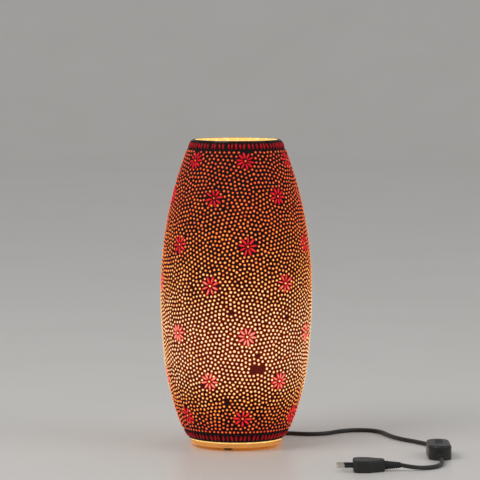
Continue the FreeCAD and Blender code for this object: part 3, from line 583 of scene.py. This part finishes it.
def litGlass(name, base, colours, flank, gloss):  # a bit of coloured glass, lit from behind by the bulb's light painted in as glow, with a painted highlight on the crown and painted shade on the flanks
    paint = Paint(name, {
        "Base Color": base, "Roughness": 0.22, "IOR": 1.5, "Specular IOR Level": gloss,
        "Emission Strength": glow["strength"],
    })
    dome = paint.attribute("dome")
    tint = paint.attribute("tint")
    wave = paint.noise(70.0, 2.0)
    # painted glow: the bulb's light by height, brighter at the crown than on the flanks, scaled by the bit's
    # tint and a faint noise
    paintedGlow = paintedBulbLight(paint) * (flank + (glow["peak"] - flank) * dome ** 1.6) * tint * (0.88 + 0.24 * wave)
    paint.set({"Emission Color": paint.ramp(paintedGlow, colours)})
    paint.bump(paint.noise(900.0, 1.0), 0.15, 0.0002)
    return paint.material


amberGlass = litGlass("amberGlass", colour(60, 14, 4), glow["beadGlowColours"], 0.05, 0.35)
redGlass = litGlass("redGlass", colour(44, 1, 4), glow["petalGlowColours"], 0.50, 0.18)
borderGlass = litGlass("borderGlass", colour(30, 0, 3), glow["borderGlowColours"], 0.50, 0.14)


def sideways(outward):  # level, along the wall
    level = numpy.stack([-outward[:, 1], outward[:, 0], numpy.zeros(len(outward))], -1)
    return level / numpy.linalg.norm(level, axis=1, keepdims=True)


def spotsFor(points, along=None, sizes=None, tints=None):
    count = len(points)
    outward = wallOutward(turnOf(points), points[:, 2])
    if along is None:
        along = sideways(outward)
    if sizes is None:
        sizes = numpy.ones((count, 3))
    if tints is None:
        tints = numpy.ones(count)
    return spots(points, along, sizes, tints)


def addBeads(middles, tips, tree):
    points = dropBeads(settleBeads(middles, tips))
    points = numpy.vstack([points, wallPoint(middles[:, 0], middles[:, 1])])  # one bead in each flower
    points = points[points[:, 2].argsort()]
    tints = 1.0 + chance.normal(size=len(points)) * mosaic["tintSpread"]
    tints[chance.random(len(points)) < mosaic["dark"]] *= mosaic["darkTint"]
    sizes = 1.0 + chance.normal(size=(len(points), 3)) * mosaic["sizeSpread"]
    sizes = numpy.clip(sizes, *mosaic["sizeLimits"])
    for number, rows in enumerate(numpy.array_split(numpy.arange(len(points)), mosaic["bands"])):
        source = spotsFor(points[rows], None, sizes[rows], tints[rows])
        mesh = grown(f"beads{number + 1}", source, tree, {
            "Length": mosaic["bead"], "Width": mosaic["bead"], "Rise": mosaic["rise"],
            "Spread": mosaic["beadSpread"], "Seed": mosaic["seed"] + number, "Material": amberGlass,
        })
        nodes = ("bead_field",) if number == 0 else ()
        addPiece(f"amber_beads_{number + 1}", mesh, "glass", nodes)
    return len(points)


def layPetals(middles):
    laid = {"points": [], "tips": [], "along": [], "sizes": [], "tints": []}
    for turn, height in middles:
        outward = Vector(wallOutward(numpy.array(turn), numpy.array(height)))
        level = Vector((math.cos(turn), math.sin(turn), 0.0))
        up = outward.cross(level)
        middle = Vector(wallPoint(turn, height))
        count = int(chance.integers(flowers["petals"][0], flowers["petals"][1] + 1))
        start = chance.random() * tau
        flowerTint = 1.0 + chance.normal() * flowers["flowerTintSpread"]
        for number in range(count):
            angle = start + tau * (number + chance.normal() * flowers["turnSpread"]) / count
            direction = level * math.cos(angle) + up * math.sin(angle)
            reach = flowers["petalMiddle"] * (1 + chance.normal() * flowers["reachSpread"])
            laid["points"].append(middle + direction * reach)
            laid["tips"].append(middle + direction * flowers["tipMiddle"])
            laid["along"].append(direction)
            length = 1 + chance.normal() * flowers["lengthSpread"]
            width = 1 + chance.normal() * flowers["widthSpread"]
            laid["sizes"].append((length, width, 1.0))
            laid["tints"].append(flowerTint + chance.normal() * flowers["tintSpread"])
    laid = {name: numpy.array(values) for name, values in laid.items()}
    for name in ("points", "tips"):
        laid[name] = ontoWall(laid[name], lowestBead, highestBead)
    return laid


def addPetals(laid, tree):
    source = spotsFor(laid["points"], laid["along"], laid["sizes"], laid["tints"])
    mesh = grown("petals", source, tree, {
        "Length": flowers["petalLength"], "Width": flowers["petalWidth"], "Rise": flowers["petalRise"],
        "Taper": flowers["petalTaper"], "Segments": 12, "Rings": 7, "Spread": 0.02,
        "Seed": mosaic["seed"], "Material": redGlass,
    })
    addPiece("flower_petals", mesh, "glass")
    return len(laid["points"])


def addBorder(node, skipNotch, tree):  # upright slips round one end of the barrel
    low, high = [corner.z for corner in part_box(node)]
    height = (low + high) / 2
    count = round(tau * wallRadius(height) / borders["pitches"][node])
    turns = tau * (numpy.arange(count) + chance.normal(size=count) * borders["turnSpread"]) / count
    if skipNotch:
        away = numpy.abs((turns - math.radians(borders["notchTurn"]) + math.pi) % tau - math.pi)
        turns = turns[away * wallRadius(height) > borders["notchWidth"] / 2]
    points = wallPoint(turns, numpy.full(len(turns), height))
    outward = wallOutward(turns, points[:, 2])
    level = sideways(outward)
    up = numpy.cross(outward, level)
    lean = numpy.radians(chance.normal(size=len(turns)) * borders["lean"])[:, None]
    along = up * numpy.cos(lean) + level * numpy.sin(lean)
    sizes = 1.0 + chance.normal(size=(len(turns), 3)) * borders["sizeSpread"]
    sizes = numpy.clip(sizes, *mosaic["sizeLimits"])
    tints = 1.0 + chance.normal(size=len(turns)) * borders["tintSpread"]
    source = spotsFor(points, along, sizes, tints)
    mesh = grown(node, source, tree, {
        "Length": min(borders["length"], (high - low) * borders["share"]), "Width": borders["width"],
        "Rise": borders["rise"], "Segments": 10, "Rings": 7, "Spread": 0.02,
        "Seed": mosaic["seed"], "Material": borderGlass,
    })
    addPiece(node + "_slips", mesh, "glass", (node,))


glassBits = glassBitTree()
middles = flowerMiddles()
petals = layPetals(middles)
print("beads laid", addBeads(middles, petals["tips"], glassBits))
print("petals laid", addPetals(petals, glassBits))
addBorder("lower_border", True, glassBits)
addBorder("upper_border", False, glassBits)
print("borders laid")


def groutWithPaintedGlow():  # black grout, sandy, with a little red light creeping through near the bulb, painted in as glow
    paint = Paint("groutWithPaintedGlow", {
        "Roughness": 0.85, "Specular IOR Level": 0.25, "Emission Strength": 1.0,
    })
    grain = paint.noise(1400.0, 3.0)
    toneAndGlowPatches = paint.noise(60.0, 2.0)
    paint.set({"Base Color": paint.mix(toneAndGlowPatches, colour(8, 4, 3), colour(19, 11, 9))})
    # painted glow where the bulb's light creeps through the grout, faint elsewhere; the patches vary both
    # the grout's tone and this glow
    nearBulbGlow = paint.step(paintedBulbLight(paint), 0.55, 1.0)
    glowing = nearBulbGlow ** 2 * (0.4 + 0.8 * toneAndGlowPatches)
    paint.set({"Emission Color": paint.mix(glowing, colour(6, 0, 0), colour(104, 15, 5))})
    paint.bump(grain, 0.5, 0.0004)
    return paint


def barrelWithPaintedGlow():  # frosted inner wall on which the backs of the glass bits show as bright cells, painted in as glow from the bulb's light
    paint = Paint("barrelWithPaintedGlow", {
        "Roughness": 0.25, "IOR": 1.5, "Specular IOR Level": 0.3, "Emission Strength": 1.0,
    })
    corners = [vertex.co for vertex in frame["nodes"]["glass_body"].data.vertices]
    top = max(corner.z for corner in corners)
    lip = [corner.xy.length for corner in corners if corner.z > top - 0.0002]
    lean = (wallRadius(highestBead - 0.004) - wallRadius(highestBead)) / 0.004
    place = paint.place()
    x, y, height = [paint.part(place, axis) for axis in "XYZ"]
    outside = (x * x + y * y) ** 0.5 - (min(lip) + max(lip)) / 2 - (top - height) * lean
    outside = paint.step(outside, 0.0, 0.0002)
    upper = paint.step(height, top - 0.03, top - 0.02)
    edge = paint.step(height, top - 0.0003, top - 0.0001)
    covered = outside * upper + edge - outside * upper * edge  # the lip's top and outside are grouted
    # painted glow: bright cells where the backs of the glass bits catch the bulb's light, dimmer between
    # them and paler where the bulb lights the wall most
    dot = 1.0 - paint.step(paint.cells(200.0), 0.30, 0.55)
    paintedGlow = paintedBulbLight(paint)
    bright = paint.mix(paintedGlow, colour(255, 222, 128), colour(255, 246, 205))
    dull = paint.mix(paintedGlow, colour(248, 200, 104), colour(252, 212, 124))
    paint.set({
        "Base Color": paint.mix(covered, colour(128, 92, 48), colour(16, 11, 9)),
        "Emission Color": paint.mix(covered, paint.mix(dot, dull, bright), colour(8, 1, 0)),
    })
    return paint


dress(groutWithPaintedGlow(), "grout_skin")
dress(barrelWithPaintedGlow(), "glass_body")
print("barrel finished")


def metalFinish(name, tone, roughness, lines):  # turned metal: fine lines run round the lamp's axis
    paint = Paint(name, {"Base Color": tone, "Metallic": 1.0})
    place = paint.place()
    across = paint.part(place, "X")
    along = paint.part(place, "Y")
    radius = (across * across + along * along) ** 0.5
    rings = paint.add("ShaderNodeCombineXYZ", {}, {0: radius, 1: paint.part(place, "Z")})
    brushed = paint.noise(lines, 2.0, rings)
    smears = paint.noise(130.0, 3.0)
    paint.set({"Roughness": roughness * (0.7 + 0.6 * smears)})
    paint.bump(brushed, 0.25, 0.00008)
    return paint


def plasticFinish(name, tone, roughness, grain, depth):  # moulded plastic with a fine grain and rubbed spots
    paint = Paint(name, {"Specular IOR Level": 0.45})
    worn = paint.noise(45.0, 4.0)
    paler = tuple(min(1.0, channel * 1.7 + 0.004) for channel in tone[:3]) + (1.0,)
    paint.set({"Base Color": paint.mix(worn, tone, paler), "Roughness": roughness * (0.75 + 0.5 * worn)})
    paint.bump(paint.noise(grain, 2.0), depth, 0.0002)
    return paint


def acrylicWithPaintedGlow():  # clear disc that carries the bulb's light to its edge, painted in as a patchy amber glow
    paint = Paint("acrylicWithPaintedGlow", {
        "Base Color": colour(214, 168, 96), "Roughness": 0.14, "IOR": 1.49,
        "Transmission Weight": 0.40, "Emission Strength": 1.0,
    })
    glowStreaks = paint.noise(38.0, 4.0)
    # painted glow of the bulb's light in the disc, patchy
    paint.set({"Emission Color": paint.mix(glowStreaks, colour(66, 31, 5), colour(140, 90, 30))})
    paint.bump(paint.noise(300.0, 2.0), 0.2, 0.0003)
    return paint


def bulbGlassFinish():
    paint = Paint("bulbGlassFinish", {
        "Base Color": colour(255, 246, 228), "Roughness": 0.02, "IOR": 1.12, "Transmission Weight": 1.0,
        "Emission Color": colour(255, 196, 110), "Emission Strength": 0.35,
    })
    paint.bump(paint.noise(60.0, 1.0), 0.05, 0.0003)
    return paint


def filamentFinish():
    paint = Paint("filamentFinish", {"Base Color": colour(255, 200, 110), "Emission Strength": 5.0})
    coils = paint.noise(2500.0, 1.0)
    paint.set({"Emission Color": paint.mix(coils, colour(255, 176, 84), colour(255, 232, 170))})
    return paint


def ceramicFinish():
    paint = Paint("ceramicFinish", {"Roughness": 0.2, "Coat Weight": 0.6, "Coat Roughness": 0.08})
    specks = paint.noise(700.0, 3.0)
    paint.set({"Base Color": paint.mix(specks, colour(224, 219, 206), colour(242, 239, 230))})
    paint.bump(paint.noise(220.0, 2.0), 0.12, 0.0003)
    return paint


def sheathFinish():  # the cord's smooth black sleeve, with faint waves along it
    paint = Paint("sheathFinish", {"Specular IOR Level": 0.5, "Coat Weight": 0.15, "Coat Roughness": 0.25})
    waves = paint.noise(180.0, 2.0)
    dust = paint.noise(30.0, 5.0)
    paint.set({
        "Base Color": paint.mix(dust, colour(16, 13, 13), colour(40, 33, 31)),
        "Roughness": 0.30 + 0.22 * dust,
    })
    paint.bump(waves, 0.3, 0.0003)
    return paint


finishes = {
    "black_rubber": plasticFinish("rubberFinish", colour(20, 20, 20), 0.85, 900.0, 0.5),
    "clear_acrylic": acrylicWithPaintedGlow(),
    "steel": metalFinish("steelFinish", colour(186, 186, 188), 0.32, 5200.0),
    "fibre": plasticFinish("fibreFinish", colour(112, 52, 36), 0.8, 1500.0, 0.6),
    "brass": metalFinish("brassFinish", colour(214, 178, 104), 0.28, 4200.0),
    "thin_brass": metalFinish("thinBrassFinish", colour(222, 188, 116), 0.22, 2600.0),
    "black_phenolic": plasticFinish("phenolicFinish", colour(22, 19, 18), 0.26, 500.0, 0.12),
    "ceramic": ceramicFinish(),
    "bulb_glass": bulbGlassFinish(),
    "bulb_metal": metalFinish("capFinish", colour(206, 206, 204), 0.26, 3600.0),
    "black_glass": plasticFinish("capGlassFinish", colour(12, 12, 16), 0.08, 300.0, 0.05),
    "solder": metalFinish("solderFinish", colour(190, 190, 192), 0.42, 900.0),
    "filament": filamentFinish(),
    "cord_sheath": sheathFinish(),
    "brown_wire": plasticFinish("brownWireFinish", colour(96, 48, 22), 0.4, 600.0, 0.15),
    "blue_wire": plasticFinish("blueWireFinish", colour(34, 84, 168), 0.4, 600.0, 0.15),
    "soft_black": plasticFinish("softBlackFinish", colour(20, 19, 19), 0.62, 1300.0, 0.4),
    "switch_plastic": plasticFinish("switchFinish", colour(24, 23, 23), 0.36, 1600.0, 0.3),
    "rocker_plastic": plasticFinish("rockerFinish", colour(30, 29, 29), 0.26, 1600.0, 0.15),
    "plug_plastic": plasticFinish("plugFinish", colour(22, 21, 21), 0.45, 1500.0, 0.35),
    "nickel": metalFinish("nickelFinish", colour(214, 209, 196), 0.16, 2400.0),
}


for subpart in frame["record"]["subparts"]:
    if subpart["material_slot"] in finishes:
        dress(finishes[subpart["material_slot"]], subpart["node"])
cordPiece.data.materials.append(finishes["cord_sheath"].material)
print("pieces finished")


boots = {  # radius at each end, rings and their depth, and the share of the length that is plain
    "sides": 24,
    "steps": 96,
    "reliefReach": (0.051, 0.080),  # how far from the lamp's axis the strain relief begins and ends
    "strain_relief": {"start": 0.0042, "end": 0.0033, "ribs": 6, "depth": 0.00028, "plain": 0.38},
    "switch_boot_in": {"start": 0.0041, "end": 0.0031, "ribs": 5, "depth": 0.00026, "plain": 0.14},
    "switch_boot_out": {"start": 0.0041, "end": 0.0031, "ribs": 5, "depth": 0.00026, "plain": 0.14},
    "plug_boot": {"start": 0.0050, "end": 0.0032, "ribs": 7, "depth": 0.00032, "plain": 0.12},
}


def bootTree():  # a tapered sleeve with rings round it, along a line
    grow = Grow("ribbed boot", [
        ("Line", "Geometry", None), ("Start Radius", "Float", 0.004), ("End Radius", "Float", 0.003),
        ("Ribs", "Float", 6.0), ("Depth", "Float", 0.0003), ("Plain", "Float", 0.2),
        ("Steps", "Int", 96), ("Sides", "Int", 24), ("Material", "Material", None),
    ])
    given = grow.given
    line = grow.add("GeometryNodeMeshToCurve", {}, {0: given["Line"]})
    line = grow.add("GeometryNodeResampleCurve", {}, {"Curve": line, "Count": given["Steps"]})
    share = grow.add("GeometryNodeSplineParameter", {}, {}, "Factor")
    narrowing = grow.sum("SUBTRACT", given["End Radius"], given["Start Radius"])
    body = grow.sum("MULTIPLY_ADD", share, narrowing, given["Start Radius"])
    turns = grow.sum("MULTIPLY", grow.sum("MULTIPLY", share, given["Ribs"]), tau)
    wave = grow.sum("MULTIPLY", grow.sum("SINE", turns), given["Depth"])
    ribbed = grow.sum("MULTIPLY", wave, grow.sum("GREATER_THAN", share, given["Plain"]))
    radius = grow.sum("ADD", body, ribbed)
    ring = grow.add("GeometryNodeCurvePrimitiveCircle", {}, {"Resolution": given["Sides"], "Radius": 1.0})
    sleeve = grow.add("GeometryNodeCurveToMesh", {},
                      {"Curve": line, "Profile Curve": ring, "Scale": radius, "Fill Caps": True})
    return grow.finish(sleeve)


def bootLine(name):  # from the boot's thick end to its thin one
    low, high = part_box(name)
    middle = (low + high) / 2
    if name == "strain_relief":
        out = Vector((cord["exit"][0], cord["exit"][1], 0.0)).normalized()
        return [out * reach + Vector((0, 0, middle.z)) for reach in boots["reliefReach"]]
    if name == "plug_boot":
        return [Vector((low.x, middle.y, middle.z)), Vector((high.x, middle.y, middle.z))]
    ends = [Vector((middle.x, low.y, middle.z)), Vector((middle.x, high.y, middle.z))]
    return ends if name == "switch_boot_in" else ends[::-1]


def addBoots():
    tree = bootTree()
    for name in ("strain_relief", "switch_boot_in", "switch_boot_out", "plug_boot"):
        facts = boots[name]
        line = bpy.data.meshes.new("line")
        line.from_pydata([tuple(point) for point in bootLine(name)], [(0, 1)], [])
        mesh = grown(name, line, tree, {
            "Start Radius": facts["start"], "End Radius": facts["end"], "Ribs": float(facts["ribs"]),
            "Depth": facts["depth"], "Plain": facts["plain"], "Steps": boots["steps"],
            "Sides": boots["sides"], "Material": finishes["soft_black"].material,
        })
        yield addPiece("ribbed_" + name, mesh, "base", (name,))


bootPieces = list(addBoots())
print("boots moulded")


studio = {
    "floor": colour(238, 235, 230),
    "floorPatches": colour(230, 227, 221),
    "floorRadius": 6.5,  # flat this far out, then it curves up into a round backdrop
    "backdropRadius": 3.0,
    "backdropSteps": 24,
    "backdropTop": 4.5,
    "sides": 96,
    "sky": colour(214, 216, 220),
    "skyStrength": 0.66,
    "key": (-1.8, -1.6, 2.4),
    "keyPower": 38.0,
    "fill": (2.4, -1.2, 1.7),
    "fillPower": 12.0,
    "lampSize": 1.8,
    "lampAim": (0.0, 0.0, 0.18),
}


def addFloor():
    mesh = bpy.data.meshes.new("floor")
    radius, sides, steps = studio["backdropRadius"], studio["sides"], studio["backdropSteps"]
    profile = []
    for step in range(steps + 1):
        angle = math.radians(90 * step / steps)
        out = studio["floorRadius"] + radius * math.sin(angle)
        profile.append((out, radius * (1 - math.cos(angle))))
    profile.append((profile[-1][0], studio["backdropTop"]))
    corners = []
    for out, height in profile:
        for side in range(sides):
            angle = tau * side / sides
            corners.append((out * math.cos(angle), out * math.sin(angle), height))
    faces = [tuple(range(sides))]
    for ring in range(len(profile) - 1):
        for side in range(sides):
            first, following = ring * sides + side, ring * sides + (side + 1) % sides
            faces.append((first, first + sides, following + sides, following))
    mesh.from_pydata(corners, [], faces)
    for face in mesh.polygons:
        face.use_smooth = True
    floor = bpy.data.objects.new("floor", mesh)
    scene.collection.objects.link(floor)
    paint = Paint("floorFinish", {"Roughness": 0.34})
    paint.set({"Base Color": paint.mix(paint.noise(3.0), studio["floor"], studio["floorPatches"])})
    mesh.materials.append(paint.material)


def addLight():
    world = bpy.data.worlds.new("studio")
    world.use_nodes = True
    background = world.node_tree.nodes["Background"]
    background.inputs["Color"].default_value = studio["sky"]
    background.inputs["Strength"].default_value = studio["skyStrength"]
    scene.world = world
    for name in ("key", "fill"):
        light = bpy.data.lights.new(name, "AREA")
        light.energy = studio[name + "Power"]
        light.size = studio["lampSize"]
        lamp = bpy.data.objects.new(name, light)
        lamp.location = studio[name]
        aim = Vector(studio["lampAim"]) - lamp.location
        lamp.rotation_euler = aim.to_track_quat("-Z", "Y").to_euler()
        scene.collection.objects.link(lamp)


addFloor()
addLight()
print("studio lit")


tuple(cord["exit"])
